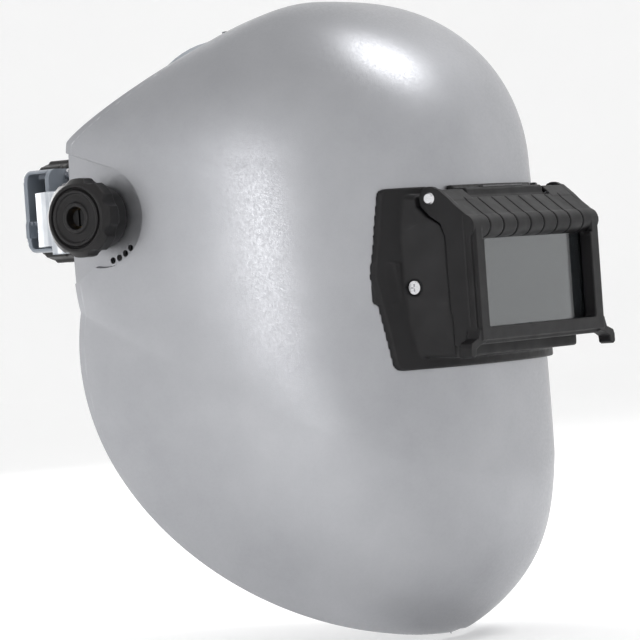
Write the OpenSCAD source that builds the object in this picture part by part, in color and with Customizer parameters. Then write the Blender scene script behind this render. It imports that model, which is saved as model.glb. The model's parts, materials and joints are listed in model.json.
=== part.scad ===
// Welding helmet with a lift front and a ratchet headgear.
// X is across the head (the wearer's right is -X), -Y is forward and +Z is up.
// The origin is the middle of the tilt axis, which joins the two side knobs.
// Outlines are written as [forward, up] or [across, forward] pairs, forward being -Y.

/* [Shell] */
// Half the outside width of the shell at the tilt axis
shell_half_width = 114.5; // [113:0.5:116]
// Wall thickness of the shell
shell_wall = 2.5; // [2:0.1:3]
// Height of the shell's rear edge at the crown above the tilt axis
crown_height = 98; // [97:0.5:100]
// Drop of the chin below the tilt axis
chin_drop = 215; // [205:1:220]
// Reach of the shell forward of the tilt axis, level with the window
front_reach = 151; // [149:0.5:151]
// Rows of facets from crown to chin
shell_rows = 44; // [24:2:48]
// Columns of facets from rim to rim
shell_columns = 44; // [24:2:48]

/* [Window] */
// Width of a standard filter plate
filter_w = 108; // [107:0.5:109]
// Height of a standard filter plate
filter_h = 50.8; // [50:0.2:51.5]
// Thickness of the filter plate
filter_t = 3; // [2.5:0.1:3.2]
// Height of the window's centre above the tilt axis
window_z = -44.3; // [-46:0.1:-43]
// Width of the visible opening
opening_w = 99; // [96:0.5:101]
// Height of the visible opening
opening_h = 41.6; // [40:0.1:43]

/* [Lift front] */
// Forward place of the lift front's hinge axis
hinge_f = 152; // [151.5:0.1:152.5]
// Height of the lift front's hinge axis
hinge_z = -3; // [-3.5:0.1:-2.5]
// Forward place of the bezel's front face
bezel_f = 175.5; // [174:0.5:177]
// Half the width of the bezel
bezel_half_w = 58.4; // [58:0.1:59]
// Radius of the hinge pins
pin_r = 2; // [1.8:0.1:2.2]
// Number of grooves in the grip bar above the window
groove_count = 8; // [6:1:10]

/* [Tilt pivots] */
// Radius of the pivot studs
stud_r = 4; // [3.8:0.1:4.2]
// Radial clearance of a running fit
run_gap = 0.05; // [0.03:0.01:0.08]
// Radius of the flat seat round each pivot
seat_r = 24; // [23:0.5:25]
// Radius of the circle of tilt-limit holes
limit_circle_r = 21.6; // [21:0.1:21.8]
// Radius of the side knobs
knob_r = 19; // [18:0.5:20]
// Length of the side knobs
knob_len = 20; // [18:1:22]
// Number of grip notches in a side knob
knob_notches = 8; // [6:1:10]

/* [Headgear] */
// Half the width of the headband
band_half_w = 84; // [83:0.5:84.5]
// Forward reach of the headband
band_front = 112; // [108:1:114]
// Rearward reach of the headband
band_rear = 90; // [89.5:0.5:90.5]
// Height of the headband strip
band_h = 27; // [24:1:27]
// Thickness of the headband strip
band_t = 2.2; // [1.8:0.1:2.4]
// Height of the crown strap's inside above the tilt axis
crown_strap_top = 84; // [76:1:86]
// Width of the crown straps
crown_strap_w = 18; // [14:1:20]

/* [Ratchet] */
// Height of the ratchet dial's axis
dial_z = 7; // [6.5:0.5:7.5]
// Radius of the ratchet dial
dial_r = 27; // [25:0.5:28]
// Number of grip lobes round the dial
dial_lobes = 18; // [14:1:20]
// Module of the pinion and the two strap racks
rack_module = 1; // [1:1:1]
// Teeth on the pinion
pinion_teeth = 12; // [12:1:12]

/* [Hidden] */

fine = 48;
round_fn = 32;
silver = [0.63, 0.63, 0.66];
black = [0.09, 0.09, 0.10];
band_grey = [0.58, 0.63, 0.68];
steel = [0.75, 0.75, 0.78];

// Side view of the shell's rim, from the crown to the chin, as three joined curves
rim_top = [61.5, crown_height];
rim_ear_top = [-18, 37.5];
rim_ear_bottom = [-19, -45.5];
rim_chin = [110, -chin_drop];
rim_curves = [
    [rim_top, [57.5, 89], [-9, 50], rim_ear_top],
    [rim_ear_top, [-19.5, 17.5], [-20, -25.5], rim_ear_bottom],
    [rim_ear_bottom, [-43.5, -131.5], [48, -204], rim_chin]
];
// Side view of the shell's middle line: crown, front and chin
front_low = [front_reach + 6.5, -137];
profile_curves = [
    [rim_top, [87, 103.5], [front_reach, 73.5], [front_reach, 10]],
    [[front_reach, 10], [front_reach + 2, -39], [front_reach + 4.5, -88], front_low],
    [front_low, [front_reach + 6.5, -169], [148, -190], rim_chin]
];
widest_share = 0.37;
pole_step = 0.004;
normal_step = 0.002;

// Places across the head, outward from the middle
seat_x = shell_half_width - 3.5;
seat_wall = 2.5;
arm_out = seat_x - 6;
arm_t = 3;
stop_x = arm_out + 0.3;
stop_t = 1.6;
washer_x = stop_x + stop_t + 0.2;
washer_t = 1.2;
bush_flange_t = 0.8;
pressure_x = seat_x + bush_flange_t + 0.2;
pressure_t = 1.4;
knob_x = pressure_x + pressure_t + 0.1;
limit_angles = [-80, -69, -58, -47];
stop_angle = -105;

// Places forward
plate_f = 138;
plate_t = 1.6;
housing_front_f = 159.6;
bezel_back_f = 160.6;
glass_f = bezel_f - 6.3;
cover_t = 1.5;
cut_half_w = 57.6;
cut_bottom = window_z - filter_h / 2 - 3.2;
cut_top = window_z + filter_h / 2 + 3.2;
cut_gap = 0.4;
roof_block_half_w = 35;
roof_block_z = 1.4;
spring_half_w = 18;
roof_ear_x = 36.5;
screw_f = 143;
bush_r = 3.2;
cheek_x = 55.2;
bezel_bottom = -73;
bezel_top = -11.5;

// Headband
band_bottom = -11.5;
band_mid_f = 8;
case_half_w = 48;
case_in_f = -81.5;
case_out_f = -98;
rack_f = -90;
rack_t = 2;
rack_reach = 56;
pitch_r = rack_module * pinion_teeth / 2;
rack_pitch = PI * rack_module;
dial_len = 17;

// ---------------------------------------------------------------- helpers

module left() { children(); }
module right() { mirror([1, 0, 0]) children(); }
// Turns a solid drawn along +Z so that it points along +X
module along_x(x, y, z) { translate([x, y, z]) rotate([0, 90, 0]) children(); }
// Turns a solid drawn along +Z so that it points backward, +Y
module along_y(x, y, z) { translate([x, y, z]) rotate([-90, 0, 0]) children(); }
// Draws a [forward, up] outline as a plate between two places across the head
module side_plate(x0, x1) {
    translate([x0, 0, 0]) rotate([90, 0, 90]) mirror([1, 0, 0]) linear_extrude(x1 - x0) children();
}
// Draws an [across, up] outline as a plate between two forward places, f0 < f1
module front_plate(f0, f1) {
    translate([0, -f0, 0]) rotate([90, 0, 0]) linear_extrude(f1 - f0) children();
}
// Draws an [across, forward] outline as a wall between two heights
module plan_wall(z0, z1) {
    translate([0, 0, z0]) mirror([0, 1, 0]) linear_extrude(z1 - z0) children();
}
module rounded(w, h, r) {
    hull() for (x = [-1, 1], z = [-1, 1])
        translate([x * (w / 2 - r), z * (h / 2 - r)]) circle(r, $fn = round_fn);
}
// A ring about X: inner and outer radius, from x for a length
module ring_x(x, len, r_in, r_out) {
    along_x(x, 0, 0) rotate_extrude($fn = fine) translate([r_in, 0]) square([r_out - r_in, len]);
}

function unit(v) = v / norm(v);
function mix(a, b, t) = a + (b - a) * t;
function bezier(p, t) =
    pow(1 - t, 3) * p[0] + 3 * pow(1 - t, 2) * t * p[1] + 3 * (1 - t) * t * t * p[2] + pow(t, 3) * p[3];
function along(curves, s) =
    let (u = min(s * 3, 2.9999), k = floor(u)) bezier(curves[k], u - k);
// A strip of even thickness on one side of a line of points, as one outline
function side_dir(p, i) =
    let (a = p[max(i - 1, 0)], b = p[min(i + 1, len(p) - 1)], d = unit(b - a)) [-d[1], d[0]];
function strip(p, t) = concat(p, [for (i = [len(p) - 1:-1:0]) p[i] + t * side_dir(p, i)]);

// ---------------------------------------------------------------- shell surface

function half_width(s) = shell_half_width * (s < widest_share
    ? pow(1 - pow((widest_share - s) / widest_share, 2), 0.64)
    : pow(1 - pow((s - widest_share) / (1 - widest_share), 4), 0.64));
function squareness(s) = s < 0.5 ? mix(2.64, 2.47, 2 * s) : mix(2.47, 2.24, 2 * s - 1);
// A point of the outer surface: s runs from crown to chin, u from the left rim to the right rim
function skin(s, u) =
    let (
        e = 2 / squareness(s),
        r = along(rim_curves, s),
        c = along(profile_curves, s),
        d = pow(cos(90 * u), e),
        f = r + (c - r) * d,
        x = half_width(s) * sign(u) * pow(sin(90 * abs(u)), e)
    ) [x, -f[0], f[1]];
function clamp_u(u) = max(-1, min(1, u));
function skin_normal(s, u) =
    let (
        q = min(max(s, pole_step), 1 - pole_step),
        w = abs(u) < 0.01 ? 0.02 : normal_step,
        ds = skin(q + normal_step, u) - skin(q - normal_step, u),
        du = skin(q, clamp_u(u + w)) - skin(q, clamp_u(u - w))
    ) unit(cross(ds, du));
function offset_skin(s, u, d) = skin(s, u) + d * skin_normal(s, u);
function row_s(i) = (1 - cos(180 * i / shell_rows)) / 2;
function col_u(j) = 2 * j / shell_columns - 1;
// The grid of one offset surface: the crown pole, the rows, then the chin pole
function grid_points(d) = concat(
    [offset_skin(0, 0, d)],
    [for (i = [1:shell_rows - 1], j = [0:shell_columns]) offset_skin(row_s(i), col_u(j), d)],
    [offset_skin(1, 0, d)]
);
grid_count = (shell_rows - 1) * (shell_columns + 1) + 2;
function at(i, j) = i == 0 ? 0 : i == shell_rows ? grid_count - 1 : 1 + (i - 1) * (shell_columns + 1) + j;
function grid_faces(base, flip) = [
    for (i = [0:shell_rows - 1], j = [0:shell_columns - 1])
        let (
            a = at(i, j), b = at(i, j + 1), c = at(i + 1, j + 1), d = at(i + 1, j),
            quads = [if (a != b) [a, b, c], if (c != d) [a, c, d]]
        )
        for (t = quads)
            flip ? [base + t[2], base + t[1], base + t[0]] : [base + t[0], base + t[1], base + t[2]]
];
// The layer between two offsets of the outer surface
module skin_layer(outer, inner) {
    n = grid_count;
    edges = [
        for (j = [0, shell_columns], i = [0:shell_rows - 1])
            let (a = at(i, j), b = at(i + 1, j), q = [[a, b, n + b], [a, n + b, n + a]])
            for (t = q) j == 0 ? t : [t[2], t[1], t[0]]
    ];
    polyhedron(
        points = concat(grid_points(outer), grid_points(inner)),
        faces = concat(grid_faces(0, false), grid_faces(n, true), edges)
    );
}
// Everything inside an offset of the outer surface, closed straight across the rim
module skin_solid(outer) {
    closing = [
        for (i = [0:shell_rows - 1])
            let (a = at(i, 0), b = at(i, shell_columns), c = at(i + 1, shell_columns), d = at(i + 1, 0))
            for (t = [if (a != b) [a, c, b], if (c != d) [a, d, c]]) t
    ];
    polyhedron(points = grid_points(outer), faces = concat(grid_faces(0, false), closing));
}

// ---------------------------------------------------------------- shell parts

module ear_outline(grow) {
    offset(delta = grow) union() {
        circle(seat_r, $fn = 64);
        polygon([[-32, 36], [8, 22.6], [0, 0], [-5, -23.4], [-32, -38]]);
    }
}
module shell() {
    color(silver) resize([0, 0, 0]) difference() {
        union() {
            skin_layer(0, -shell_wall);
            intersection() {
                skin_solid(-0.01);
                for (m = [0, 1]) mirror([m, 0, 0])
                    side_plate(seat_x - seat_wall, seat_x + 2) ear_outline(2.5);
            }
        }
        for (m = [0, 1]) mirror([m, 0, 0]) {
            side_plate(seat_x, seat_x + 12) ear_outline(0);
            along_x(seat_x - 8, 0, 0) cylinder(h = 16, r = stud_r + 2.2, $fn = fine);
            for (a = limit_angles) rotate([-a, 0, 0])
                along_x(seat_x - 8, -limit_circle_r, 0) cylinder(h = 16, r = 1.6, $fn = 24);
        }
        front_plate(90, 180) translate([0, (cut_top + cut_bottom) / 2])
            rounded(2 * cut_half_w, cut_top - cut_bottom, 5);
    }
}

// Front view of the lens housing where it meets the shell
module housing_outline(grow, bottom) {
    offset(r = 3, $fn = 24) offset(delta = grow - 3)
        polygon([[-70, 3], [70, 3], [75, -38], [69, bottom], [-69, bottom], [-75, -38]]);
}
// Side view of a lift-front cheek, round its hinge lobe and down the S-shaped rear edge
cheek_outline = [
    [hinge_f + 10, hinge_z - 0.2], [hinge_f + 5, hinge_z + 4], [hinge_f + 1, hinge_z + 5.2],
    [hinge_f - 3, hinge_z + 5], [hinge_f - 5.4, hinge_z + 2],
    [hinge_f - 5.6, hinge_z - 3], [hinge_f - 1, hinge_z - 8],
    [hinge_f + 5, hinge_z - 12], [hinge_f + 7.2, hinge_z - 18], [hinge_f + 7.6, hinge_z - 52],
    [hinge_f + 9, hinge_z - 60], [hinge_f + 14, hinge_z - 64], [hinge_f + 18, hinge_z - 64],
    [hinge_f + 18, hinge_z - 8]
];
module lens_housing() {
    color(black) resize([0, 0, 0]) difference() {
        union() {
            difference() {
                union() {
                    hull() {
                        front_plate(112, 113) housing_outline(0, -76);
                        front_plate(housing_front_f - 1, housing_front_f)
                            translate([0, -40.8]) rounded(112, 75.6, 2);
                    }
                    // Raised block in the middle of the roof, which carries the detent spring
                    side_plate(-roof_block_half_w, roof_block_half_w)
                        polygon([
                            [120, -6], [120, roof_block_z], [157.5, roof_block_z], [158.5, 0.4], [158.5, -6]
                        ]);
                    for (m = [0, 1]) mirror([m, 0, 0]) {
                        hull() {
                            side_plate(64, 66) translate([130, -41.3]) rounded(17, 20, 2);
                            side_plate(70, 71.5) translate([127.5, -41.3]) rounded(9, 17, 2);
                        }
                        // Round lobe that holds the hinge bush
                        along_x(50.4, -hinge_f, hinge_z)
                            cylinder(h = cheek_x - 50.7, r = 4.1, $fn = round_fn);
                    }
                }
                skin_solid(0.2);
            }
            // Flange that lies on the shell
            intersection() {
                skin_layer(3, 0.2);
                front_plate(100, 158) housing_outline(0, -83);
            }
            // Frame that passes through the shell and holds the safety plate
            front_plate(plate_f - 1.4, 150) translate([0, (cut_top + cut_bottom) / 2])
                rounded(2 * (cut_half_w - cut_gap), cut_top - cut_bottom - 2 * cut_gap, 4.6);
        }
        front_plate(90, 180) translate([0, window_z]) rounded(100, 44, 3);
        front_plate(90, plate_f + plate_t + 1.2) translate([0, window_z])
            rounded(filter_w + 0.8, filter_h + 0.8, 1);
        for (m = [0, 1]) mirror([m, 0, 0]) {
            side_plate(cheek_x - 0.3, 80) union() {
                offset(delta = 0.8) polygon(cheek_outline);
                translate([hinge_f, hinge_z]) circle(6.6, $fn = fine);
            }
            along_x(50, -hinge_f, hinge_z) cylinder(h = 10, r = bush_r + 0.1, $fn = round_fn);
            // Screw hole, counterbore and nut pocket
            along_x(50, -screw_f, window_z) cylinder(h = 25, r = 1.7, $fn = 24);
            along_x(60.8, -screw_f, window_z) cylinder(h = 20, r = 3.8, $fn = 24);
            along_x(49, -screw_f, window_z) cylinder(h = 8.4, r = 3.3, $fn = 6);
            // Pocket in the roof that the lift front's rear edge swings into
            translate([roof_ear_x - 0.5, -156, -5.5]) cube([13.9, 12, 12]);
        }
    }
}
module housing_screws() {
    color(steel) for (m = [0, 1]) mirror([m, 0, 0]) difference() {
        union() {
            along_x(54.8, -screw_f, window_z) cylinder(h = 7, r = 1.5, $fn = 24);
            along_x(60.9, -screw_f, window_z) cylinder(h = 1.6, r = 3.2, $fn = round_fn);
        }
        for (a = [0, 90]) translate([62, -screw_f, window_z]) rotate([a, 0, 0])
            cube([1.2, 3.6, 0.8], center = true);
    }
}
module housing_nuts() {
    color(steel) for (m = [0, 1]) mirror([m, 0, 0]) difference() {
        along_x(55.3, -screw_f, window_z) cylinder(h = 2, r = 3.1, $fn = 6);
        along_x(55, -screw_f, window_z) cylinder(h = 3, r = 1.5, $fn = 24);
    }
}
module hinge_bushes() {
    color("dimgray") for (m = [0, 1]) mirror([m, 0, 0]) translate([0, -hinge_f, hinge_z])
        ring_x(51.2, 3.6, pin_r + run_gap, bush_r);
}
module detent_spring() {
    color(steel) difference() {
        translate([-spring_half_w, -157.4, roof_block_z + 0.05]) cube([2 * spring_half_w, 2.7, 0.7]);
        translate([0, -156.05, 0]) cylinder(h = 8, r = 0.8, $fn = 24);
    }
}
module safety_plate() {
    color([0.75, 0.82, 0.85, 0.4]) front_plate(plate_f, plate_f + plate_t)
        translate([0, window_z]) square([filter_w, filter_h], center = true);
}
module frame_ring(w, h, edge) {
    translate([0, window_z]) difference() {
        square([w, h], center = true);
        square([w - 2 * edge, h - 2 * edge], center = true);
    }
}
module safety_gasket() {
    color("black") front_plate(plate_f + plate_t + 0.1, plate_f + plate_t + 1.1)
        frame_ring(filter_w, filter_h, 4);
}
module plate_retainer() {
    color(steel) front_plate(plate_f - 1.2, plate_f - 0.1) frame_ring(filter_w - 0.2, filter_h - 0.2, 5);
}

module pivot_bush() {
    color("dimgray") {
        ring_x(seat_x - seat_wall, seat_wall, stud_r + run_gap, stud_r + 2);
        ring_x(seat_x, bush_flange_t, stud_r + run_gap, stud_r + 6);
    }
}
module friction_washer() {
    color("black") ring_x(washer_x, washer_t, stud_r + 0.4, 13);
}
stop_fan_r = 24.8;
module stop_plate() {
    color("dimgray") difference() {
        union() {
            along_x(stop_x, 0, 0) cylinder(h = stop_t, r = 12, $fn = fine);
            // Fan that covers all the limit holes from inside
            side_plate(stop_x, stop_x + stop_t) polygon([
                [0, 0],
                for (a = [limit_angles[0] - 12:4:limit_angles[3] + 12]) stop_fan_r * [cos(a), sin(a)]
            ]);
            rotate([-limit_angles[1], 0, 0]) {
                translate([stop_x, -limit_circle_r - 3, -3]) cube([stop_t, limit_circle_r, 6]);
                along_x(stop_x, -limit_circle_r, 0) cylinder(h = seat_x - stop_x - 0.4, r = 1.3, $fn = 24);
            }
            rotate([-stop_angle, 0, 0]) {
                translate([stop_x, -20.5, -2.5]) cube([stop_t, 15, 5]);
                translate([stop_x - 4.5, -20.5, -1.5]) cube([4.6, 3, 3]);
            }
        }
        along_x(stop_x - 6, 0, 0) cylinder(h = 12, r = stud_r + 0.4, $fn = fine);
    }
}

// ---------------------------------------------------------------- lift front

bar_r = 5.8;
bar_f = bezel_f - bar_r;
bar_z = bezel_top - bar_r;
// Half the width of each groove in the grip bar, and the margin outside the first and last of them
groove_half_w = 0.55;
bar_margin = 9;
groove_pitch = 2 * (bezel_half_w - bar_margin) / groove_count;
module lift_frame() {
    color(black) difference() {
        union() {
            // Bezel round the window, with eased front edges, open at the front where the grip bar is
            difference() {
                union() {
                    front_plate(bezel_back_f, bezel_f - 2) translate([0, (bezel_bottom + bar_z) / 2])
                        square([2 * bezel_half_w, bar_z - bezel_bottom], center = true);
                    front_plate(bezel_f - 2, bezel_f) translate([0, (bezel_bottom + bar_z) / 2 + 1])
                        square([2 * bezel_half_w - 3, bar_z - bezel_bottom - 2], center = true);
                }
                front_plate(bar_f, bezel_f + 1) translate([0, window_z + opening_h / 2 + 10])
                    square([opening_w + 3, 20], center = true);
            }
            // Grip bar above the window, in sections with grooves between them
            for (i = [0:groove_count]) {
                first = i == 0;
                last = i == groove_count;
                groove_x = -bezel_half_w + bar_margin + groove_pitch * (i + 0.5);
                x0 = first ? -bezel_half_w : groove_x - groove_pitch + groove_half_w;
                x1 = last ? bezel_half_w : groove_x - groove_half_w;
                along_x(x0, -bar_f, bar_z) cylinder(h = x1 - x0, r = bar_r, $fn = fine);
            }
            along_x(-bezel_half_w, -bar_f, bar_z)
                cylinder(h = 2 * bezel_half_w, r = bar_r - 1, $fn = fine);
            // Sloping roof back to the hinge line
            side_plate(-bezel_half_w, bezel_half_w)
                polygon([[bar_f + 2.2, bar_z + 5.3], [hinge_f + 9.2, hinge_z - 0.2],
                    [hinge_f + 9.2, hinge_z - 3.4], [bar_f - 4, bar_z]]);
            // Cheeks that carry the hinge pins
            for (m = [0, 1]) mirror([m, 0, 0]) {
                side_plate(cheek_x, bezel_half_w) polygon(cheek_outline);
                along_x(cheek_x, -hinge_f, hinge_z) cylinder(h = bezel_half_w - cheek_x, r = 5.6,
                    $fn = fine);
                // The roof's rear corners, which reach back beside the raised block
                side_plate(roof_ear_x, bezel_half_w)
                    polygon([[163, -4.4], [157, 0.9], [156.4, -0.2], [156.4, -1.9], [160.4, -2.5],
                        [161.3, -5]]);
                // Finger feet that flare out from the lower corners
                front_plate(168, 175) translate([0, bezel_bottom])
                    polygon([[53, 1], [58, 8], [60, 3], [66, 1], [67, -1], [67, -5], [65, -6], [63, -5],
                        [62.5, -2], [58, 0]]);
            }
        }
        front_plate(150, 190) translate([0, window_z]) rounded(opening_w, opening_h, 1.5);
        front_plate(150, glass_f) translate([0, window_z])
            square([filter_w + 0.6, filter_h + 0.6], center = true);
        for (m = [0, 1]) mirror([m, 0, 0])
            along_x(cheek_x - 2, -hinge_f, hinge_z) cylinder(h = 8, r = pin_r, $fn = fine);
    }
}
module cover_lens() {
    color([0.6, 0.66, 0.7, 0.4]) front_plate(glass_f - cover_t - 0.1, glass_f - 0.1)
        translate([0, window_z]) square([filter_w, filter_h], center = true);
}
module filter_plate() {
    color([0.18, 0.22, 0.27]) front_plate(glass_f - cover_t - filter_t - 0.3, glass_f - cover_t - 0.3)
        translate([0, window_z]) square([filter_w, filter_h], center = true);
}
module filter_gasket() {
    color("black") front_plate(glass_f - cover_t - filter_t - 1.5, glass_f - cover_t - filter_t - 0.4)
        frame_ring(filter_w, filter_h, 4.2);
}
module filter_clip() {
    color(steel) front_plate(bezel_back_f + 0.3, glass_f - cover_t - filter_t - 1.7)
        frame_ring(filter_w, filter_h, 3);
}
module hinge_pins() {
    color(steel) for (m = [0, 1]) mirror([m, 0, 0]) {
        along_x(51, -hinge_f, hinge_z) cylinder(h = bezel_half_w + 0.5 - 51, r = pin_r, $fn = fine);
        along_x(bezel_half_w + 0.1, -hinge_f, hinge_z) cylinder(h = 1, r1 = 2.9, r2 = 2.2, $fn = fine);
    }
}

// ---------------------------------------------------------------- headgear

// Plan view of the headband: [across, forward] at an angle from straight ahead
function band_point(a, d) =
    let (
        f = cos(a) >= 0,
        e = 2 / (f ? 2.2 : 3.2),
        reach = f ? band_front - band_mid_f : band_rear + band_mid_f,
        x = (band_half_w + d) * sign(sin(a)) * pow(abs(sin(a)), e),
        y = band_mid_f + (reach + d) * sign(cos(a)) * pow(abs(cos(a)), e)
    ) [x, y];
function band_arc(a0, a1, n, d) = [for (i = [0:n]) band_point(mix(a0, a1, i / n), d)];
function band_strip(a0, a1, n, d0, d1) = concat(band_arc(a0, a1, n, d1), band_arc(a1, a0, n, d0));
// The angle at which the rear of the band reaches the mouth of the ratchet case
tail_angle = 180 - asin(pow((case_half_w - 5) / band_half_w, 3.2 / 2));
module headband() {
    color(band_grey) plan_wall(band_bottom, band_bottom + band_h)
        polygon(band_strip(-tail_angle, tail_angle, 72, 0, band_t));
}
module sweatband() {
    color("gray") plan_wall(band_bottom - 1.5, band_bottom + band_h + 1.5)
        polygon(band_strip(-64, 64, 40, -6.2, -0.2));
}
// Outside of an arm in plan: [across, forward], from the rear rivet round the pivot to the front rivet
arm_line = [
    [82.9, -55], [85.4, -49.5], [91.5, -42], [98, -31], [arm_out - 1, -22], [arm_out, -17],
    [arm_out, 17], [arm_out - 1.5, 22], [98, 32], [91.5, 41], [86.2, 48], [82.7, 55]
];
// Side view of an arm: deep behind the pivot, slim ahead of it, with the tilt-stop lug below
arm_side = [[-70, 13], [-62, 15], [-14, 15], [-4, 13], [4, 13], [14, 8], [50, 8], [57, 6], [57, -4],
    [50, -5.5], [15, -5.5], [11, -10], [4, -13], [-4.2, -13], [-8.2, -21], [-10.9, -19.8], [-8.2,
        -13.6], [-13, -13],
    [-22, -16], [-58, -16], [-70, -11]];
module side_arm() {
    color(band_grey) difference() {
        intersection() {
            plan_wall(-30, 30) polygon(strip(arm_line, arm_t));
            side_plate(60, 120) polygon(arm_side);
        }
        along_x(80, 0, 0) cylinder(h = 30, r = stud_r, $fn = fine);
    }
}
module arm_rivets() {
    color(steel) for (m = [0, 1], f = [-48, 46]) mirror([m, 0, 0])
        along_x(78, -f, 0) cylinder(h = f < 0 ? 9.8 : 10.8, r = 2, $fn = round_fn);
}
module pivot_stud() {
    color([0.12, 0.12, 0.13]) difference() {
        union() {
            along_x(arm_out - arm_t - 3, 0, 0) cylinder(h = 3, r = 9, $fn = 6);
            along_x(arm_out - arm_t - 0.1, 0, 0)
                cylinder(h = knob_x + knob_len - 3.5 - arm_out + arm_t, r = stud_r, $fn = fine);
        }
        translate([knob_x + knob_len - 4, 0, 0]) cube([2.4, 1.2, 9], center = true);
    }
}
// A crown strap half in front view: [across, up] from the band's side over the top to past the middle
strap_base = 14;
strap_f = 12;
strap_t = 1.8;
strap_pin_pitch = 13;
strap_foot_x = band_half_w + band_t + 0.2 + strap_t;
function strap_arc(d, past) = concat(
    [[strap_foot_x + d, strap_base - 16]],
    [for (i = [0:22])
        let (
            a = mix(0, 90 + past, i / 22), e = 2 / 2.1,
            w = strap_foot_x + d, h = crown_strap_top - strap_base + d
        )
        [w * sign(cos(a)) * pow(abs(cos(a)), e), strap_base + h * pow(sin(a), e)]]
);
module strap_half(d) {
    difference() {
        front_plate(strap_f - crown_strap_w / 2, strap_f + crown_strap_w / 2)
            polygon(strip(strap_arc(d, 10), strap_t));
        for (i = [-1:1]) translate([strap_pin_pitch * i, -strap_f, crown_strap_top - 15])
            cylinder(h = 25, r = 2, $fn = 24);
    }
}
module crown_strap_left() { color(band_grey) left() strap_half(0); }
module crown_strap_right() { color(band_grey) right() strap_half(strap_t + 0.4); }
// The strap from the forehead back under the crown strap
forehead_f = band_front + band_t + 0.2 + strap_t;
forehead_line = concat(
    [[forehead_f, -2]],
    [for (i = [0:20]) let (a = 90 * i / 20, e = 2 / 2.1)
        [forehead_f * pow(max(cos(a), 0), e), strap_base + (crown_strap_top - 16.4) * pow(sin(a), e)]]
);
module forehead_strap() {
    color(band_grey) difference() {
        side_plate(-crown_strap_w / 2, crown_strap_w / 2) polygon(strip(forehead_line, strap_t));
        translate([0, -strap_f, crown_strap_top - 15]) cylinder(h = 25, r = 2, $fn = 24);
    }
}
module crown_strap_pins() {
    color([0.3, 0.32, 0.34]) for (i = [-1:1]) translate([strap_pin_pitch * i, -strap_f, 0]) {
        translate([0, 0, crown_strap_top - 4]) cylinder(h = 8.2, r = 1.9, $fn = 24);
        translate([0, 0, crown_strap_top + 4.1]) cylinder(h = 1.2, r = 3.8, $fn = round_fn);
    }
}
// Buttons that hold the straps' ends to the headband
module strap_buttons() {
    color([0.3, 0.32, 0.34]) {
        for (m = [0, 1]) mirror([m, 0, 0])
            along_x(band_half_w, -strap_f, 5) cylinder(h = 5.9, r = 3, $fn = round_fn);
        along_y(0, -forehead_f - 1.6, 5) cylinder(h = 5.8, r = 3, $fn = round_fn);
    }
}

// ---------------------------------------------------------------- ratchet

module ratchet_case_inner() {
    color(band_grey) difference() {
        front_plate(case_in_f - 2.5, case_in_f) translate([0, dial_z]) rounded(2 * case_half_w, 42, 6);
        case_screw_places() cylinder(h = 40, r = 1.5, $fn = 24);
    }
}
module case_screw_places() {
    for (x = [-1, 1], z = [-18, 18]) along_y(x * 32, -case_in_f - 6, dial_z + z) children();
}
module ratchet_case_outer() {
    color(band_grey) difference() {
        front_plate(case_out_f, case_in_f - 2.6) translate([0, dial_z]) rounded(2 * case_half_w, 42, 6);
        // Strap channel, open at both ends
        translate([-60, -case_in_f, dial_z - 14.5]) cube([120, 14, 31]);
        translate([case_half_w - 10, -case_in_f, dial_z - 19]) cube([12, 14, 38]);
        translate([-case_half_w - 2, -case_in_f, dial_z - 19]) cube([12, 14, 38]);
        along_y(0, -case_in_f, dial_z) cylinder(h = 40, r = stud_r + run_gap, $fn = fine);
        case_screw_places() cylinder(h = 40, r = 1.5, $fn = 24);
    }
}
module case_screws() {
    color(steel) case_screw_places() {
        translate([0, 0, 3.4]) cylinder(h = 14, r = 1.4, $fn = 24);
        translate([0, 0, 3.9]) cylinder(h = 2, r = 2.8, $fn = round_fn);
    }
}
module rear_pad() {
    color("gray") front_plate(case_in_f + 0.3, case_in_f + 9) translate([0, dial_z]) rounded(92, 29, 8);
}
module pawl_spring() {
    color(steel) along_y(0, -case_out_f + 0.1, dial_z) {
        difference() {
            cylinder(h = 2.4, r = 18, $fn = fine);
            translate([0, 0, -1]) cylinder(h = 5, r = 17.2, $fn = fine);
            translate([-20, -20, -1]) cube([40, 28, 5]);
        }
        translate([-2.5, 14.5, 0]) cube([5, 2.9, 2.4]);
        translate([-0.8, 17, 0]) cube([1.6, 2.2, 2.4]);
    }
}
module ratchet_dial() {
    color(black) along_y(0, -case_out_f + 0.6, dial_z) difference() {
        union() {
            cylinder(h = dial_len, r = dial_r - 1.4, $fn = 64);
            for (i = [0:dial_lobes - 1]) rotate(360 * i / dial_lobes)
                translate([dial_r - 2.4, 0, 2]) cylinder(h = dial_len - 4, r = 2.4, $fn = 24);
        }
        // Hollow with the click teeth, round the hub
        difference() {
            translate([0, 0, -1]) cylinder(h = 7, r = 21.5, $fn = 64);
            translate([0, 0, -2]) cylinder(h = 9, r = 9, $fn = fine);
            for (i = [0:35]) rotate(10 * i) translate([20.3, -0.7, -1]) cube([3, 1.4, 8]);
        }
        translate([0, 0, -1]) cylinder(h = 9, r = stud_r, $fn = fine);
        translate([0, 0, -1]) cylinder(h = 30, r = 1.6, $fn = 24);
        // Dished face with a centre well
        translate([0, 0, dial_len - 2.2]) cylinder(h = 4, r = 20, $fn = 64);
        translate([0, 0, dial_len - 6]) cylinder(h = 6, r = 5, $fn = fine);
    }
}
module dial_screw() {
    color(steel) along_y(0, -case_out_f + 0.6, dial_z) difference() {
        union() {
            translate([0, 0, 1]) cylinder(h = 11, r = 1.5, $fn = 24);
            translate([0, 0, dial_len - 5.9]) cylinder(h = 2, r = 3.4, $fn = round_fn);
        }
        for (a = [0, 90]) translate([0, 0, dial_len - 4]) rotate(a) cube([3.6, 0.8, 1.6], center = true);
    }
}
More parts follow.
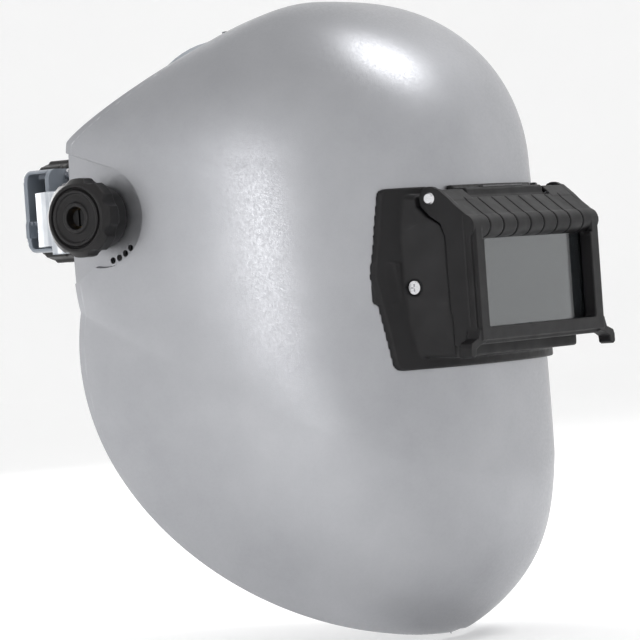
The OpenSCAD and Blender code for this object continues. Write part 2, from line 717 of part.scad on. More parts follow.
module pinion_outline() {
    circle(pitch_r - 1.3, $fn = fine);
    for (i = [0:pinion_teeth - 1]) rotate(360 * i / pinion_teeth)
        polygon([[pitch_r - 2, -1], [pitch_r - 1.2, -0.95], [pitch_r, -0.6], [pitch_r + 0.9, -0.25],
            [pitch_r + 0.9, 0.25], [pitch_r, 0.6], [pitch_r - 1.2, 0.95], [pitch_r - 2, 1]]);
}
module pinion() {
    color(steel) difference() {
        union() {
            along_y(0, -rack_f - 0.5, dial_z) linear_extrude(rack_t + 1) pinion_outline();
            along_y(0, -rack_f, dial_z) cylinder(h = 16, r = stud_r, $fn = fine);
        }
        along_y(0, -rack_f + 4, dial_z) cylinder(h = 14, r = 1.5, $fn = 24);
    }
}
// A strap end with rack teeth on its lower edge, running out to +X above the pinion
module rack_outline() {
    difference() {
        translate([-14, pitch_r - 0.9]) square([14 + rack_reach, 8.4]);
        for (i = [-5:18]) translate([i * rack_pitch, 0])
            polygon([[-1.21, pitch_r - 1], [-0.84, pitch_r], [-0.45, pitch_r + 1.3], [0.45, pitch_r + 1.3],
                [0.84, pitch_r], [1.21, pitch_r - 1]]);
    }
}
module rack_strap_left() {
    color(band_grey) translate([0, 0, dial_z]) front_plate(rack_f - rack_t, rack_f) rack_outline();
}
// The right strap end runs the other way, with its teeth below the pinion
module rack_strap_right() {
    translate([0, 0, 2 * dial_z]) rotate([0, 180, 0]) rack_strap_left();
}

// ---------------------------------------------------------------- tension knobs

module pressure_washer() {
    color("dimgray") ring_x(pressure_x, pressure_t, stud_r + 0.3, 15);
}
knob_neck_len = 10;
module knob() {
    color(black) difference() {
        union() {
            // Neck, underside, grip and eased front of the cap
            along_x(knob_x, 0, 0) cylinder(h = knob_neck_len, r = 15.6, $fn = 64);
            along_x(knob_x + knob_neck_len - 2, 0, 0) cylinder(h = 2.1, r1 = 15.6, r2 = knob_r, $fn = 64);
            along_x(knob_x + knob_neck_len, 0, 0)
                cylinder(h = knob_len - knob_neck_len - 3, r = knob_r, $fn = 64);
            along_x(knob_x + knob_len - 3.1, 0, 0) cylinder(h = 3.1, r1 = knob_r, r2 = 16, $fn = 64);
        }
        for (i = [0:knob_notches - 1]) rotate([360 * (i + 0.5) / knob_notches, 0, 0])
            along_x(knob_x + knob_neck_len - 3, knob_r + 2.6, 0)
                cylinder(h = knob_len, r = 4.2, $fn = round_fn);
        along_x(knob_x - 1, 0, 0) cylinder(h = 13, r = 6.5, $fn = fine);
        along_x(knob_x - 1, 0, 0) cylinder(h = knob_len + 4, r = 5.4, $fn = fine);
        ring_x(knob_x + knob_len - 1.6, 4, 13.4, 14.6);
        ring_x(knob_x + knob_len - 1.2, 4, 7.4, 11.8);
        ring_x(knob_x - 1, 8, 10, 15);
    }
}
module knob_insert() {
    color("goldenrod") ring_x(knob_x + 0.2, 11.6, stud_r + run_gap, 6.5);
}

shell();
lens_housing();
housing_screws();
housing_nuts();
hinge_bushes();
detent_spring();
safety_plate();
safety_gasket();
plate_retainer();
right() pivot_bush();  // pivot_bush_right
left() pivot_bush();  // pivot_bush_left
right() friction_washer();  // friction_washer_right
left() friction_washer();  // friction_washer_left
right() stop_plate();  // stop_plate_right
left() stop_plate();  // stop_plate_left
lift_frame();
filter_plate();
cover_lens();
filter_gasket();
filter_clip();
hinge_pins();
headband();
sweatband();
right() side_arm();  // side_arm_right
left() side_arm();  // side_arm_left
arm_rivets();
right() pivot_stud();  // pivot_stud_right
left() pivot_stud();  // pivot_stud_left
crown_strap_right();
crown_strap_left();
forehead_strap();
crown_strap_pins();
strap_buttons();
ratchet_case_inner();
ratchet_case_outer();
case_screws();
rear_pad();
pawl_spring();
right() pressure_washer();  // pressure_washer_right
left() pressure_washer();  // pressure_washer_left
right() knob();  // knob_right
left() knob();  // knob_left
right() knob_insert();  // knob_insert_right
left() knob_insert();  // knob_insert_left
ratchet_dial();
dial_screw();
pinion();
rack_strap_right();
rack_strap_left();
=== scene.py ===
"""Looks of the welding helmet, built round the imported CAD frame.

Helper functions take millimetres as (across, forward, up), where forward is -Y, and make meshes in metres.
"""

import json
import math

import bmesh
import bpy
import numpy as np
from mathutils import Matrix, Vector


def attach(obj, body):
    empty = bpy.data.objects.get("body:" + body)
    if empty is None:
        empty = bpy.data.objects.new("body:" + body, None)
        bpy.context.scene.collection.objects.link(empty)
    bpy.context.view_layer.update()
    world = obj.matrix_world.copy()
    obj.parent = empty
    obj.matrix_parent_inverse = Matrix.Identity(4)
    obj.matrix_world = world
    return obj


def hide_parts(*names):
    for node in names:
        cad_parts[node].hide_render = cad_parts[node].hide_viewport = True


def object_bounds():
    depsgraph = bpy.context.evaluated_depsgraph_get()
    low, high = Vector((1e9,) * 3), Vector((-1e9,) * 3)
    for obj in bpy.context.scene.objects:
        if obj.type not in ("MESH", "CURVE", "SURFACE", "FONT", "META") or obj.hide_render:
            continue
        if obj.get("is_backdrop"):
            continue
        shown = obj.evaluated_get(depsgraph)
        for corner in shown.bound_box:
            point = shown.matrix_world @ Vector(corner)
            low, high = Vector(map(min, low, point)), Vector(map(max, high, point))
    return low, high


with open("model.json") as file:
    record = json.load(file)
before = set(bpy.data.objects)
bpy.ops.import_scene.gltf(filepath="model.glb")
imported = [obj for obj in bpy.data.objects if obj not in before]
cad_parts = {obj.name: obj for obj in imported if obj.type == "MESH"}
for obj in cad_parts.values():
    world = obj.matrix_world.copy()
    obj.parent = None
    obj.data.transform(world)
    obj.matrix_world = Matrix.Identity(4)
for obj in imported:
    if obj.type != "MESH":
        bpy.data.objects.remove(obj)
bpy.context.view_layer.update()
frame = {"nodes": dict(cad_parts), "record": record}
nodes = frame["nodes"]

MM = 0.001
SIDES = {"right": -1, "left": 1}

# Sizes shared with the CAD frame, in millimetres
SHELL_HALF_W = 114.5
SHELL_WALL = 2.5
SEAT_X = 111.0
SEAT_R = 24.0
SEAT_WALL = 2.5
STUD_BORE_R = 6.2
LIMIT_R = 21.6
LIMIT_HOLE_R = 1.6
LIMIT_ANGLES = (-80, -69, -58, -47)
WINDOW_Z = -44.3
CUT_HALF_W = 57.6
CUT_HALF_H = 28.6
BOSS_F, BOSS_Z, BOSS_LEN, BOSS_H = 132.4, -41.3, 11.4, 20.0
BOSS_RISE, BOSS_MAX_X = 5.4, 74.8
HINGE_F, HINGE_Z = 152.0, -3.0
BEZEL_F = 175.5
BEZEL_HALF_W = 58.4
BAR_R = 5.8
BAR_F, BAR_Z = BEZEL_F - BAR_R, -11.5 - BAR_R
BAR_MARGIN = 9.0
GROOVES = 8
GROOVE_HALF_W = 0.55

RIM_CURVES = [
    [(61.5, 98), (57.5, 89), (-9, 50), (-18, 37.5)],
    [(-18, 37.5), (-19.5, 17.5), (-20, -25.5), (-19, -45.5)],
    [(-19, -45.5), (-43.5, -131.5), (48, -204), (110, -215)],
]
PROFILE_CURVES = [
    [(61.5, 98), (87, 103.5), (151, 73.5), (151, 10)],
    [(151, 10), (153, -39), (155.5, -88), (157.5, -137)],
    [(157.5, -137), (157.5, -169), (148, -190), (110, -215)],
]
WIDEST = 0.37
RIM_BAND, RIM_DROP, RIM_STEP = 3.3, 1.0, 0.8
LIP_RISE = 0.35
FINE, COARSE = 0.45, 2.3
SAMPLES = 4001


# ---------------------------------------------------------------- mesh helpers


def place(points):
    """Millimetre points (across, forward, up) as metre points of the frame."""
    p = np.asarray(points, float)
    return np.stack([p[..., 0], -p[..., 1], p[..., 2]], -1) * MM


def make(name, points, faces, smooth=False):
    """A mesh object from millimetre points."""
    mesh = bpy.data.meshes.new(name)
    mesh.from_pydata([tuple(p) for p in place(points)], [], [tuple(f) for f in faces])
    obj = bpy.data.objects.new(name, mesh)
    bpy.context.scene.collection.objects.link(obj)
    clean(obj)
    if smooth:
        mesh.shade_smooth()
    return obj


def clean(obj, merge=1e-6):
    """Joins doubled points and turns every face outward."""
    bm = bmesh.new()
    bm.from_mesh(obj.data)
    bmesh.ops.remove_doubles(bm, verts=bm.verts, dist=merge)
    bmesh.ops.dissolve_degenerate(bm, edges=bm.edges, dist=1e-7)
    bmesh.ops.recalc_face_normals(bm, faces=bm.faces)
    bm.to_mesh(obj.data)
    bm.free()


def bake(obj):
    """Applies the object's modifiers."""
    graph = bpy.context.evaluated_depsgraph_get()
    mesh = bpy.data.meshes.new_from_object(obj.evaluated_get(graph), depsgraph=graph)
    old = obj.data
    obj.modifiers.clear()
    obj.data = mesh
    bpy.data.meshes.remove(old)
    return obj


def modify(obj, kind, **settings):
    """Adds one modifier and applies it at once."""
    m = obj.modifiers.new(kind, kind)
    for key, value in settings.items():
        setattr(m, key, value)
    return bake(obj)


def boolean(obj, tool, operation="DIFFERENCE"):
    """Cuts or joins obj with tool, which is used up."""
    modify(obj, "BOOLEAN", object=tool, operation=operation, solver="EXACT")
    bpy.data.objects.remove(tool)
    return obj


def copy_of(node, name=None):
    """A new object with a CAD node's mesh, which the node itself keeps."""
    obj = bpy.data.objects.new(name or node + "_shape", nodes[node].data.copy())
    bpy.context.scene.collection.objects.link(obj)
    obj.data.materials.clear()
    clean(obj)
    return obj


def prism(axis, outline, start, end, outline_end=None):
    """A solid between two outlines, of (forward, up) points for "x" or of (across, up) points for "f"."""
    other = outline if outline_end is None else outline_end
    n = len(outline)
    order = {"x": lambda p, d: (d, p[0], p[1]), "f": lambda p, d: (p[0], d, p[1])}
    points = [order[axis](p, start) for p in outline]
    points += [order[axis](p, end) for p in other]
    faces = [list(range(n)), list(range(2 * n - 1, n - 1, -1))]
    faces += [[i, (i + 1) % n, n + (i + 1) % n, n + i] for i in range(n)]
    return make("tool", points, faces)


def arc(centre, radius, start, end, steps):
    """Points of an arc, in degrees."""
    angles = np.radians(np.linspace(start, end, steps))
    return [(centre[0] + radius * math.cos(a), centre[1] + radius * math.sin(a)) for a in angles]


def circle(centre, radius, steps=48):
    return arc(centre, radius, 0, 360 * (steps - 1) / steps, steps)


def rounded_rect(centre, w, h, r, steps=8):
    out = []
    for k, (sx, sz) in enumerate(((1, 1), (-1, 1), (-1, -1), (1, -1))):
        c = (centre[0] + sx * (w / 2 - r), centre[1] + sz * (h / 2 - r))
        out += arc(c, r, 90 * k, 90 * k + 90, steps)
    return out


def smooth_edges(obj, angle=35):
    """Smooth shading, with edges sharper than the angle kept crisp."""
    obj.data.shade_smooth()
    obj.data.set_sharp_from_angle(angle=math.radians(angle))
    return obj


def moulded(obj, voxel, rounds=6):
    """Rounds every edge of a solid, as on a moulding: a fine even remesh, then smoothing."""
    modify(obj, "REMESH", mode="VOXEL", voxel_size=voxel * MM)
    modify(obj, "SMOOTH", factor=0.5, iterations=rounds)
    obj.data.shade_smooth()
    return obj


def finish_piece(obj, name, material, body, slot, *replaced):
    """Names a piece, paints it, ties it to its CAD body and hides the CAD nodes it stands for."""
    obj.name = name
    obj.data.name = name
    obj.data.materials.clear()
    obj.data.materials.append(material)
    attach(obj, body)
    if replaced:
        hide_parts(*replaced)
    return obj


# ---------------------------------------------------------------- materials


class Shader:
    """A node material with one Principled shader, and short calls for its texture nodes."""

    def __init__(self, name, **inputs):
        self.material = bpy.data.materials.new(name)
        self.material.use_nodes = True
        self.tree = self.material.node_tree
        self.shader = self.tree.nodes["Principled BSDF"]
        for key, value in inputs.items():
            self.shader.inputs[key.replace("_", " ")].default_value = value
        self.coords = self.tree.nodes.new("ShaderNodeTexCoord").outputs["Object"]

    def node(self, kind, links=None, **values):
        n = self.tree.nodes.new(kind)
        for key, value in values.items():
            if key in n.inputs:
                n.inputs[key].default_value = value
            else:
                setattr(n, key, value)
        for key, source in (links or {}).items():
            self.tree.links.new(source, n.inputs[key])
        return n

    def noise(self, scale, detail=3.0, rough=0.5, stretch=None):
        source = self.coords
        if stretch:
            source = self.node("ShaderNodeMapping", {"Vector": source}, Scale=stretch).outputs["Vector"]
        n = self.node("ShaderNodeTexNoise", {"Vector": source}, Scale=scale, Detail=detail, Roughness=rough)
        return n.outputs["Fac"]

    def cells(self, scale, output="Distance", feature="F1"):
        n = self.node("ShaderNodeTexVoronoi", {"Vector": self.coords}, Scale=scale, feature=feature)
        return n.outputs[output]

    def ramp(self, source, low, high, start=0.3, end=0.7):
        """Maps a 0 to 1 value to numbers or colours between low and high."""
        r = self.node("ShaderNodeValToRGB", {"Fac": source})
        as_colour = [tuple([v] * 3) if isinstance(v, (int, float)) else v for v in (low, high)]
        for element, position, value in zip(r.color_ramp.elements, (start, end), as_colour):
            element.position = position
            element.color = (*value, 1)
        return r.outputs["Color"]

    def colour(self, source):
        self.tree.links.new(source, self.shader.inputs["Base Color"])

    def roughness(self, source):
        self.tree.links.new(source, self.shader.inputs["Roughness"])

    def bump(self, source, depth, strength=1.0, after=None):
        links = {"Height": source}
        if after is not None:
            links["Normal"] = after
        n = self.node("ShaderNodeBump", links, Distance=depth * MM, Strength=strength)
        self.tree.links.new(n.outputs["Normal"], self.shader.inputs["Normal"])
        return n.outputs["Normal"]


def silver_paint():
    """Satin aluminium paint: soft mottling, fine flakes and a faint orange peel."""
    m = Shader("silver_paint", Metallic=0.9, Specular_IOR_Level=0.5)
    m.colour(m.ramp(m.noise(11, 6, 0.6), (0.35, 0.355, 0.375), (0.43, 0.435, 0.455)))
    m.roughness(m.ramp(m.noise(700, 3), 0.31, 0.45))
    peel = m.bump(m.noise(260, 2), 0.03)
    m.bump(m.cells(2600), 0.04, 0.5, after=peel)
    return m.material


def moulded_plastic(name, dark, light, rough=(0.36, 0.5), grain=0.03, scale=1100, level=0.5):
    """Injection-moulded plastic with a fine spark-eroded grain and slight unevenness."""
    m = Shader(name, Specular_IOR_Level=level)
    m.colour(m.ramp(m.noise(45, 6), dark, light))
    m.roughness(m.ramp(m.noise(130, 5), rough[0], rough[1]))
    m.bump(m.noise(scale, 3, 0.7), grain, 0.8)
    return m.material


def metal(name, dark, light, rough, stretch):
    """Turned, rolled or plated metal with fine lines along its working direction."""
    m = Shader(name, Metallic=1.0)
    lines = m.noise(350, 4, 0.6, stretch)
    m.colour(m.ramp(lines, dark, light))
    m.roughness(m.ramp(m.noise(200, 4), rough - 0.06, rough + 0.08))
    m.bump(lines, 0.01, 0.6)
    return m.material


def filter_glass():
    """Very dark welding glass."""
    m = Shader("filter_glass", Roughness=0.05, IOR=1.52)
    m.colour(m.ramp(m.noise(12, 2), (0.020, 0.023, 0.026), (0.024, 0.027, 0.030)))
    m.bump(m.noise(40, 2), 0.01, 0.3)
    return m.material


def clear_plate():
    """Clear polycarbonate cover plate with a few fine wipe marks."""
    m = Shader("clear_plate", IOR=1.5)
    m.shader.inputs["Transmission Weight"].default_value = 1.0
    m.shader.inputs["Base Color"].default_value = (0.93, 0.96, 0.97, 1)
    m.roughness(m.ramp(m.noise(160, 6, 0.7, (1, 1, 0.12)), 0.02, 0.06, 0.4, 0.8))
    return m.material


def brushed_cloth():
    """Brushed terry cloth on foam: short loops, fuzz and gentle shading."""
    m = Shader("brushed_cloth", Roughness=0.9)
    m.shader.inputs["Sheen Weight"].default_value = 0.5
    m.shader.inputs["Sheen Roughness"].default_value = 0.45
    m.colour(m.ramp(m.noise(420, 5, 0.7), (0.075, 0.08, 0.088), (0.15, 0.155, 0.165)))
    weave = m.cells(900)
    loops = m.bump(weave, 0.35, 0.9)
    m.bump(m.noise(1500, 3), 0.12, 0.7, after=loops)
    return m.material


PAINT = silver_paint()
BLACK = moulded_plastic(
    "black_nylon", (0.0045, 0.0042, 0.0048), (0.0085, 0.008, 0.009), rough=(0.42, 0.56), level=0.28
)
KNOB_BLACK = moulded_plastic(
    "knob_nylon", (0.006, 0.0055, 0.006), (0.011, 0.01, 0.0105), rough=(0.36, 0.5), level=0.3
)
GREY = moulded_plastic(
    "headgear_plastic", (0.20, 0.225, 0.26), (0.24, 0.265, 0.30), rough=(0.34, 0.46), grain=0.012, scale=700
)
DARK_GREY = moulded_plastic("button_plastic", (0.055, 0.062, 0.07), (0.07, 0.078, 0.088), (0.35, 0.48))
RUBBER = moulded_plastic("rubber", (0.010, 0.010, 0.010), (0.02, 0.02, 0.02), (0.7, 0.85), 0.04, 1500)
ZINC = metal("zinc_plate", (0.62, 0.62, 0.64), (0.80, 0.80, 0.82), 0.24, (1, 1, 6))
SPRING = metal("spring_steel", (0.10, 0.10, 0.105), (0.17, 0.17, 0.175), 0.36, (1, 8, 1))
BRASS = metal("brass", (0.55, 0.38, 0.15), (0.75, 0.56, 0.26), 0.26, (6, 1, 1))
GLASS = filter_glass()
CLEAR = clear_plate()
CLOTH = brushed_cloth()

BY_SLOT = {
    "shell_paint": PAINT,
    "black_plastic": BLACK,
    "knob_plastic": KNOB_BLACK,
    "headgear_plastic": GREY,
    "button_plastic": DARK_GREY,
    "bright_steel": ZINC,
    "dark_steel": SPRING,
    "brass": BRASS,
    "black_rubber": RUBBER,
    "filter_glass": GLASS,
    "clear_plate": CLEAR,
    "sweatband_foam": CLOTH,
}
SLOT_OF = {p["node"]: p["material_slot"] for p in frame["record"]["subparts"]}
for node_name, cad_object in nodes.items():
    cad_object.data.materials.clear()
    cad_object.data.materials.append(BY_SLOT[SLOT_OF[node_name]])
    smooth_edges(cad_object, 30)


# ---------------------------------------------------------------- shell


def bezier(curves, s):
    p = np.array(curves, float)
    t = np.minimum(np.asarray(s) * 3, 2.999999)
    k = np.floor(t).astype(int)
    f = (t - k)[..., None]
    q = p[k]
    return (
        (1 - f) ** 3 * q[..., 0, :]
        + 3 * (1 - f) ** 2 * f * q[..., 1, :]
        + 3 * (1 - f) * f**2 * q[..., 2, :]
        + f**3 * q[..., 3, :]
    )


def skin(s, u):
    """The shell's outer surface, as in the CAD frame: s runs from crown to chin, u from rim to rim."""
    s, u = np.broadcast_arrays(np.asarray(s, float), np.asarray(u, float))
    above = np.abs(1 - ((WIDEST - s) / WIDEST) ** 2) ** 0.64
    below = np.abs(1 - ((s - WIDEST) / (1 - WIDEST)) ** 4) ** 0.64
    half = SHELL_HALF_W * np.where(s < WIDEST, above, below)
    power = 2 / np.where(s < 0.5, 2.64 - 0.34 * s, 2.47 - 0.23 * (2 * s - 1))
    rim, front = bezier(RIM_CURVES, s), bezier(PROFILE_CURVES, s)
    depth = np.abs(np.cos(np.pi / 2 * u)) ** power
    side = rim + (front - rim) * depth[..., None]
    x = half * np.sign(u) * np.abs(np.sin(np.pi / 2 * np.abs(u))) ** power
    return np.stack([x, side[..., 0], side[..., 1]], -1)


def skin_normal(s, u):
    h = 0.002
    q = np.clip(s, 0.004, 0.996)
    w = np.where(np.abs(u) < 0.01, 0.02, h)
    ds = skin(q + h, u) - skin(q - h, u)
    du = skin(q, np.clip(u + w, -1, 1)) - skin(q, np.clip(u - w, -1, 1))
    n = np.cross(du, ds)
    return n / np.linalg.norm(n, axis=-1, keepdims=True)


def even_steps(line, spacing):
    """Parameters that walk along a sampled line in steps of the given spacing, which may vary."""
    t = np.linspace(0, 1, len(line))
    pace = np.linalg.norm(np.diff(line, axis=0), axis=-1) / spacing((t[1:] + t[:-1]) / 2)
    walked = np.concatenate([[0], np.cumsum(pace)])
    count = max(8, int(round(walked[-1])))
    return np.interp(np.linspace(0, walked[-1], count + 1), walked, t)


def ease(x, low, high):
    t = np.clip((x - low) / (high - low), 0, 1)
    return t * t * (3 - 2 * t)


EAR_SHOULDER = (-34, 36.6)
EAR_FOOT = (-34, -38.6)


def ear_outline(grow):
    """Side view of the flat round a pivot, as (forward, up)."""
    return [
        (EAR_SHOULDER[0], EAR_SHOULDER[1] + grow),
        *arc((0, 0), SEAT_R + grow, 70.5, -102, 60),
        (EAR_FOOT[0], EAR_FOOT[1] - grow),
    ]


def ear_depth(f, z):
    """How far a side-view point lies inside the flat round a pivot; negative outside."""
    disc = SEAT_R - np.hypot(f, z)
    slope_up = (22.6 - EAR_SHOULDER[1]) / (8 - EAR_SHOULDER[0])
    slope_down = (-23.4 - EAR_FOOT[1]) / (-5 - EAR_FOOT[0])
    top = EAR_SHOULDER[1] + slope_up * (f - EAR_SHOULDER[0]) - z
    bottom = z - (EAR_FOOT[1] + slope_down * (f - EAR_FOOT[0]))
    return np.maximum(disc, np.minimum(np.minimum(top, bottom), -5 - f))


def mesh_spacing(distance, start, end):
    """Mesh spacing at a distance from an edge: fine up to start, coarse from end."""
    return FINE + (COARSE - FINE) * ease(distance, start, end)


def shell_rows():
    """Values of s for the mesh rows, closer together towards the crown and chin."""
    steps = np.linspace(0, 1, SAMPLES)
    lines = np.stack([skin(steps, u) for u in (0.0, 0.6, 1.0)])
    pace = np.linalg.norm(np.diff(lines, axis=1), axis=-1).max(0)
    from_pole = np.minimum(np.cumsum(pace), np.cumsum(pace[::-1])[::-1])
    walked = np.concatenate([[0], np.cumsum(pace / mesh_spacing(from_pole, 6, 26))])
    return np.interp(np.linspace(0, walked[-1], int(walked[-1])), walked, steps)[1:-1]


def shell_columns():
    """Values of u for the mesh columns, closer together towards the rim."""
    steps = np.linspace(0, 1, SAMPLES)
    line = skin(0.42, np.linspace(-1, 1, SAMPLES))
    length = np.concatenate([[0], np.cumsum(np.linalg.norm(np.diff(line, axis=0), axis=-1))])

    def spacing(t):
        run = np.interp(t, steps, length)
        return mesh_spacing(np.minimum(run, length[-1] - run), 5, 20)

    return 2 * even_steps(line, spacing) - 1


def rim_distance(outer):
    """Distance of each outside point from the shell's rim."""
    towards = np.linspace(0, 1, 900) ** 1.5
    rim = np.concatenate([skin(q, e) for q in (towards, 1 - towards) for e in (-1.0, 1.0)])
    flat = outer.reshape(-1, 3)
    chunk = 1500
    near = [
        np.sqrt(((flat[i : i + chunk, None] - rim[None]) ** 2).sum(-1)).min(1)
        for i in range(0, len(flat), chunk)
    ]
    return np.concatenate(near).reshape(outer.shape[:2])


def inner_skin(outer, normal):
    """The inside, one wall away, standing in from the flat round each pivot."""
    inner = outer - SHELL_WALL * normal
    wall = ease(ear_depth(inner[..., 1], inner[..., 2]), -4.5, -1.0)
    capped = np.sign(inner[..., 0]) * np.minimum(np.abs(inner[..., 0]), SEAT_X - SEAT_WALL)
    inner[..., 0] += (capped - inner[..., 0]) * wall
    return inner


def skin_faces(rows, columns, base, pole, flip):
    """Faces of one skin: a grid of quads, closed at the crown and the chin by triangles."""
    faces = []
    for i in range(rows - 1):
        for j in range(columns - 1):
            a = base + i * columns + j
            faces.append([a, a + 1, a + columns + 1, a + columns])
    last = base + (rows - 1) * columns
    for j in range(columns - 1):
        faces.append([pole, base + j + 1, base + j])
        faces.append([pole + 1, last + j, last + j + 1])
    return [face[::-1] for face in faces] if flip else faces


def shell_blank():
    """The closed solid of the shell before anything is cut from it."""
    s, u = np.meshgrid(shell_rows(), shell_columns(), indexing="ij")
    outer = skin(s, u)
    normal = skin_normal(s, u)
    inner = inner_skin(outer, normal)
    drop = RIM_DROP * (1 - ease(rim_distance(outer), RIM_BAND, RIM_BAND + RIM_STEP))
    outer = outer - drop[..., None] * normal

    rows, columns = s.shape
    lip = (outer[:, [0, -1]] + inner[:, [0, -1]]) / 2
    outward = outer[:, [0, -1]] - outer[:, [1, -2]]
    lip += LIP_RISE * outward / np.linalg.norm(outward, axis=-1, keepdims=True)
    poles = [skin(0.0, 0.0), skin(1.0, 0.0)]
    inner_poles = [p - SHELL_WALL * skin_normal(np.array(q), np.array(0.0)) for p, q in zip(poles, (0, 1))]
    lip_poles = [(a + b) / 2 for a, b in zip(poles, inner_poles)]
    points = [outer.reshape(-1, 3), inner.reshape(-1, 3), lip.reshape(-1, 3)]
    points = np.concatenate([*points, [*poles, *inner_poles, *lip_poles]])

    inner_base, lip_base = rows * columns, 2 * rows * columns
    pole_base = lip_base + 2 * rows
    faces = skin_faces(rows, columns, 0, pole_base, False)
    faces += skin_faces(rows, columns, inner_base, pole_base + 2, True)
    for side, column in ((0, 0), (1, columns - 1)):
        out_path = [pole_base, *[i * columns + column for i in range(rows)], pole_base + 1]
        in_path = [pole_base + 2, *[inner_base + i * columns + column for i in range(rows)], pole_base + 3]
        lip_path = [pole_base + 4, *[lip_base + 2 * i + side for i in range(rows)], pole_base + 5]
        for a, b in ((out_path, lip_path), (lip_path, in_path)):
            faces += [[a[i], a[i + 1], b[i + 1], b[i]] for i in range(rows + 1)]
    return make("shell_skin", points, faces)


def build_shell():
    obj = shell_blank()
    for side in SIDES.values():
        start, end = side * (SEAT_X - 8), side * (SEAT_X + 8)
        flat = prism("x", ear_outline(0), side * SEAT_X, side * (SEAT_X + 4.5), ear_outline(1.1))
        boolean(obj, flat)
        boolean(obj, prism("x", circle((0, 0), STUD_BORE_R), start, end))
        for a in np.radians(LIMIT_ANGLES):
            hole = circle((LIMIT_R * math.cos(a), LIMIT_R * math.sin(a)), LIMIT_HOLE_R, 20)
            boolean(obj, prism("x", hole, start, end))
    window = rounded_rect((0, WINDOW_Z), 2 * CUT_HALF_W, 2 * CUT_HALF_H, 5)
    boolean(obj, prism("f", window, 90, 180))
    return smooth_edges(obj, 28)


finish_piece(build_shell(), "shell_skin", PAINT, "shell", "shell_paint", "shell")


# ---------------------------------------------------------------- lens housing and lift front


def screw_boss(side):
    """The rounded block that stands up from the flange behind a side screw, its top following the shell."""
    row = skin(0.47, np.linspace(0.02, 0.98, 200))
    outline = rounded_rect((BOSS_F, BOSS_Z), BOSS_LEN, BOSS_H, 2.5, 5)
    tops = [min(np.interp(-f, -row[:, 1], row[:, 0]) + BOSS_RISE, BOSS_MAX_X) for f, _ in outline]
    n = len(outline)
    points = [(side * 56, f, z) for f, z in outline]
    points += [(side * x, f, z) for x, (f, z) in zip(tops, outline)]
    faces = [list(range(n)), list(range(2 * n - 1, n - 1, -1))]
    faces += [[i, (i + 1) % n, n + (i + 1) % n, n + i] for i in range(n)]
    return make("boss", points, faces)


def build_housing():
    obj = copy_of("lens_housing")
    for side in SIDES.values():
        boolean(obj, screw_boss(side), "UNION")
    return moulded(obj, 0.55, 4)


def build_lift_front():
    obj = copy_of("lift_frame")
    pitch = 2 * (BEZEL_HALF_W - BAR_MARGIN) / GROOVES
    for i in range(GROOVES):
        x = -BEZEL_HALF_W + BAR_MARGIN + pitch * (i + 0.5)
        top, low = (HINGE_F + 9.6, HINGE_Z + 0.3), (BAR_F + 2.6, BAR_Z + 6.2)
        groove = [top, low, (low[0] - 0.9, low[1] - 1.9), (top[0], top[1] - 1.9)]
        boolean(obj, prism("x", groove, x - GROOVE_HALF_W, x + GROOVE_HALF_W))
    for side in SIDES.values():
        back = BEZEL_F - 5.8
        seam = [(back, -12), (back + 0.8, -12), (back + 0.8, -64), (back, -64)]
        boolean(obj, prism("x", seam, side * (BEZEL_HALF_W - 0.9), side * (BEZEL_HALF_W + 2)))
    return moulded(obj, 0.36, 2)


finish_piece(build_housing(), "lens_housing_moulding", BLACK, "shell", "black_plastic", "lens_housing")
finish_piece(build_lift_front(), "lift_front_moulding", BLACK, "lift_front", "black_plastic", "lift_frame")


# ---------------------------------------------------------------- knobs and ratchet



def rounded_copy(node, name, voxel, rounds, material, body):
    """A CAD node's own shape with every edge rounded, in place of that node."""
    finish_piece(moulded(copy_of(node), voxel, rounds), name, material, body, SLOT_OF[node], node)


for side_name in SIDES:
    knob_name = "knob_moulding_" + side_name
    rounded_copy("knob_" + side_name, knob_name, 0.4, 4, KNOB_BLACK, side_name + "_knob")
rounded_copy("ratchet_dial", "dial_moulding", 0.45, 4, KNOB_BLACK, "dial")
rounded_copy("ratchet_case_outer", "case_moulding", 0.5, 4, GREY, "headgear")
for side_name in SIDES:
    arm = "side_arm_" + side_name
    rounded_copy(arm, arm + "_moulding", 0.5, 3, GREY, "headgear")


# ---------------------------------------------------------------- padded pieces


CLOTH_FRAMES = 20


def puffed(obj, voxel, pressure, cap, shrink):
    """A sewn foam pad: the plain solid, drawn in a little, then blown up as cloth within a cap."""
    modify(obj, "REMESH", mode="VOXEL", voxel_size=voxel * MM)
    modify(obj, "DISPLACE", strength=-shrink * MM, mid_level=0.0)
    start = np.array([v.co for v in obj.data.vertices])
    cloth = obj.modifiers.new("Cloth", "CLOTH")
    cloth.settings.use_pressure = True
    cloth.settings.uniform_pressure_force = pressure
    cloth.settings.effector_weights.gravity = 0
    cloth.settings.quality = 6
    scene = bpy.context.scene
    for f in range(1, CLOTH_FRAMES + 1):
        scene.frame_set(f)
    bake(obj)
    scene.frame_set(1)
    moved = np.array([v.co for v in obj.data.vertices]) - start
    length = np.linalg.norm(moved, axis=1, keepdims=True)
    moved *= np.minimum(1, cap * MM / np.maximum(length, 1e-12))
    obj.data.vertices.foreach_set("co", (start + moved).astype(np.float32).ravel())
    obj.data.update()
    modify(obj, "SUBSURF", levels=1, render_levels=1)
    obj.data.shade_smooth()
    return obj


def cushion(node, name, fill, **settings):
    pad = puffed(copy_of(node), **settings)
    finish_piece(pad, name, CLOTH, "headgear", "sweatband_foam", node)


cushion("sweatband", "sweatband_pad", 0.6, voxel=2.4, pressure=4.0, cap=1.2, shrink=0.7)
cushion("rear_pad", "rear_pad_cushion", 0.7, voxel=3.0, pressure=4.0, cap=1.6, shrink=0.9)


# ---------------------------------------------------------------- floor, light and camera


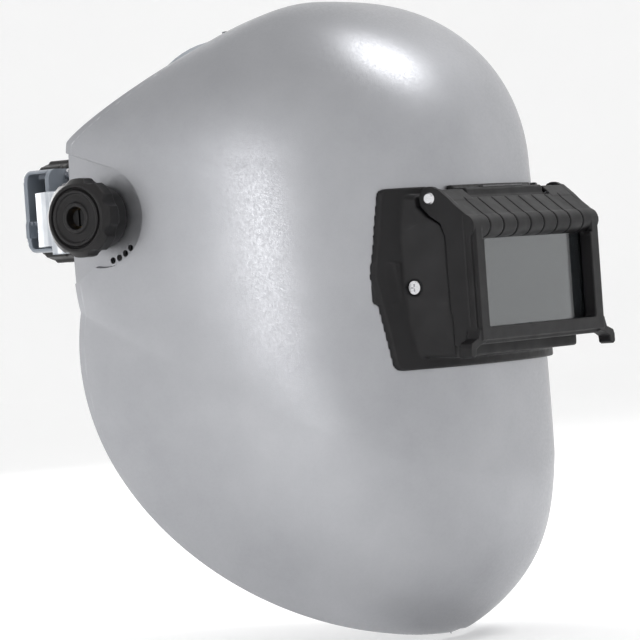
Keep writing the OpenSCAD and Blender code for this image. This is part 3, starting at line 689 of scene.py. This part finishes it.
def stage_material(name, value):
    m = Shader(name, Roughness=0.9, Emission_Strength=0.2)
    m.shader.inputs["Emission Color"].default_value = (1, 1, 1, 1)
    m.colour(m.ramp(m.noise(2, 3), value, value + 0.02))
    return m.material


def build_floor(floor_z):
    """A wide pale floor just under the object, curving up into a low wall all round."""
    reach, bend, height, turns = 6000, 1500, 5000, 72
    profile = [(1, 0), (reach - bend, 0)]
    profile += [(r + reach - bend, z + bend) for r, z in arc((0, 0), bend, -84, 0, 15)]
    profile += [(reach, height)]
    n = len(profile)
    points = []
    for a in np.linspace(0, 2 * math.pi, turns, endpoint=False):
        points += [(r * math.cos(a), r * math.sin(a), z + floor_z / MM) for r, z in profile]
    faces = [list(range(0, n * turns, n))]
    for i in range(turns):
        a, b = i * n, (i + 1) % turns * n
        faces += [[a + k, a + k + 1, b + k + 1, b + k] for k in range(n - 1)]
    obj = make("floor", points, faces, smooth=True)
    obj.data.materials.append(stage_material("pale_floor", 0.84))
    obj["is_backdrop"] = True


def direction(azimuth, elevation):
    """A unit vector at an azimuth and elevation in degrees, from the front towards the wearer's left."""
    a, e = math.radians(azimuth), math.radians(elevation)
    return Vector((math.sin(a) * math.cos(e), -math.cos(a) * math.cos(e), math.sin(e)))


def softbox(name, azimuth, elevation, distance, width, height, power):
    light = bpy.data.lights.new(name, "AREA")
    light.shape = "RECTANGLE"
    light.size, light.size_y = width, height
    light.energy = power
    obj = bpy.data.objects.new(name, light)
    away = direction(azimuth, elevation)
    obj.location = away * distance + Vector((0, -0.06, -0.05))
    obj.rotation_euler = (-away).to_track_quat("-Z", "Y").to_euler()
    bpy.context.scene.collection.objects.link(obj)
    return obj


CAMERA_AZ, CAMERA_EL, CAMERA_ROLL = -54.6, -1.0, -4.03
CAMERA_DISTANCE = 1.9207
LENS, SENSOR = 213.9, 36.0
AIM_RIGHT, AIM_DOWN = 0.04167, 0.05521  # metres from the tilt axis to the point the camera aims at


def build_camera():
    back = direction(CAMERA_AZ, CAMERA_EL)
    level = (-back).cross(Vector((0, 0, 1))).normalized()
    up = level.cross(-back)
    roll = math.radians(CAMERA_ROLL)
    right = level * math.cos(roll) + up * math.sin(roll)
    top = up * math.cos(roll) - level * math.sin(roll)
    look = (right * AIM_RIGHT - top * AIM_DOWN - back * CAMERA_DISTANCE).normalized()
    right = look.cross(top).normalized()
    top = right.cross(look)
    data = bpy.data.cameras.new("camera")
    data.sensor_width = SENSOR
    data.lens = LENS
    cam = bpy.data.objects.new("camera", data)
    turn = Matrix((right, top, -look)).transposed().to_4x4()
    cam.matrix_world = Matrix.Translation(back * CAMERA_DISTANCE) @ turn
    bpy.context.scene.collection.objects.link(cam)
    bpy.context.scene.camera = cam


build_camera()
build_floor(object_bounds()[0].z - 0.001)
world = bpy.data.worlds.new("studio")
world.use_nodes = True
world.node_tree.nodes["Background"].inputs["Color"].default_value = (1, 1, 1, 1)
world.node_tree.nodes["Background"].inputs["Strength"].default_value = 0.72
bpy.context.scene.world = world
softbox("strip_side", -83, 0, 1.7, 0.17, 0.62, 2.6)
softbox("wrap_side", -92, 4, 2.2, 1.0, 1.2, 2.5)
softbox("top", 49, 55, 1.8, 0.7, 0.7, 9)
softbox("floor_bounce", -97, -25, 1.6, 0.9, 0.45, 11)
softbox("rim_light", -195, 12, 1.7, 1.3, 1.3, 26)
softbox("front_low", -30, -60, 2.0, 0.9, 0.9, 6)
bpy.context.scene.view_settings.view_transform = "Standard"
